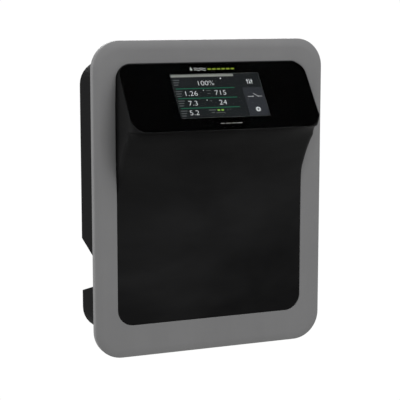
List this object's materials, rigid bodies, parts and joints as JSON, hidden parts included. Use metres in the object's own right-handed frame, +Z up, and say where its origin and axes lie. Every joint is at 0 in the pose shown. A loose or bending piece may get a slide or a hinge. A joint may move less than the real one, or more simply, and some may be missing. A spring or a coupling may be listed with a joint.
{
  "type": "salt chlorine generator",
  "caption": "Wall-mounted salt chlorinator control unit: grey-framed black front door with a tilted display pod, hinged on a black rear housing with power electronics.",
  "frame": {"origin": "on the wall-contact plane, at the centre of the front cover's outline", "axes": "+Z up, +Y into the wall, +X to the right seen from the front; the front faces -Y"},
  "size_m": [0.293, 0.1389, 0.373],
  "materials": {
    "grey_cover": "satin moulded grey plastic with a very fine texture",
    "black_panel": "smooth satin black plastic",
    "black_shell": "fine-textured matte black plastic",
    "lens_glass": "polished black-printed display lens",
    "display": "lit display",
    "circuit_board": "green solder mask",
    "black_plastic": "moulded black nylon",
    "green_terminal": "moulded green plastic",
    "relay_case": "smooth blue plastic",
    "rocker": "smooth red plastic",
    "capacitor_sleeve": "shrunk plastic sleeve",
    "copper_winding": "enamelled copper wire",
    "zinc_steel": "zinc-plated steel",
    "aluminium": "plain extruded and folded aluminium",
    "brass": "turned brass",
    "gasket_rubber": "matte black sealing rubber",
    "ribbon": "grey flat cable",
    "fuse_glass": "glass tube with metal ends"
  },
  "bodies": {
    "housing": {"rear_housing": "black_shell", "wall_bracket": "zinc_steel", "hinge_housing_leaf_upper": "zinc_steel", "hinge_housing_leaf_lower": "zinc_steel", "hinge_pin_upper": "zinc_steel", "hinge_pin_lower": "zinc_steel", "gland_body_1": "black_plastic", "gland_cap_1": "black_plastic", "gland_lock_nut_1": "black_plastic", "gland_body_2": "black_plastic", "gland_cap_2": "black_plastic", "gland_lock_nut_2": "black_plastic", "gland_body_3": "black_plastic", "gland_cap_3": "black_plastic", "gland_lock_nut_3": "black_plastic", "probe_socket_1": "brass", "probe_nut_1": "brass", "probe_socket_2": "brass", "probe_nut_2": "brass", "earth_stud": "brass", "mains_switch_body": "black_plastic", "fuse_holder": "black_plastic", "fuse": "fuse_glass", "main_board": "circuit_board", "board_standoff_1": "brass", "board_standoff_2": "brass", "board_standoff_3": "brass", "board_standoff_4": "brass", "heat_sink": "aluminium", "relay_1": "relay_case", "relay_2": "relay_case", "relay_3": "relay_case", "capacitor_1": "capacitor_sleeve", "capacitor_2": "capacitor_sleeve", "choke_coil": "copper_winding", "controller_chip": "black_plastic", "mains_terminals": "green_terminal", "cell_terminals": "green_terminal", "probe_terminals": "green_terminal", "ribbon_header": "black_plastic", "power_supply": "aluminium", "power_supply_terminals": "black_plastic"},
    "door": {"front_surround": "grey_cover", "front_panel": "black_panel", "display_lens": "lens_glass", "display_module": "display", "display_board": "circuit_board", "panel_screw_1": "zinc_steel", "panel_screw_2": "zinc_steel", "panel_screw_3": "zinc_steel", "panel_screw_4": "zinc_steel", "door_gasket": "gasket_rubber", "hinge_door_leaf_upper": "zinc_steel", "hinge_door_leaf_lower": "zinc_steel", "display_ribbon": "ribbon"},
    "lock_left": {"door_lock_left": "zinc_steel"},
    "lock_right": {"door_lock_right": "zinc_steel"},
    "rocker": {"mains_switch_rocker": "rocker"},
    "cap": {"fuse_cap": "black_plastic"}
  },
  "joints": [
    {"name": "door_hinge", "type": "hinge", "parent": "housing", "child": "door", "pos_m": [0.142, -0.066, 0], "axis": [0, 0, 1], "range_deg": [0, 110], "deforming": ["display_ribbon"]},
    {"name": "lock_left_turn", "type": "hinge", "parent": "door", "child": "lock_left", "pos_m": [-0.1, -0.0742, -0.1865], "axis": [0, 0, 1], "range_deg": [0, 90]},
    {"name": "lock_right_turn", "type": "hinge", "parent": "door", "child": "lock_right", "pos_m": [0.06, -0.0742, -0.1865], "axis": [0, 0, 1], "range_deg": [0, 90]},
    {"name": "rocker_tip", "type": "hinge", "parent": "housing", "child": "rocker", "pos_m": [0.092, -0.06, -0.1655], "axis": [0, 1, 0], "range_deg": [0, 14]},
    {"name": "fuse_cap_turn", "type": "hinge", "parent": "housing", "child": "cap", "pos_m": [0.04, -0.06, -0.1675], "axis": [0, 0, 1], "range_deg": [0, 45]}
  ]
}
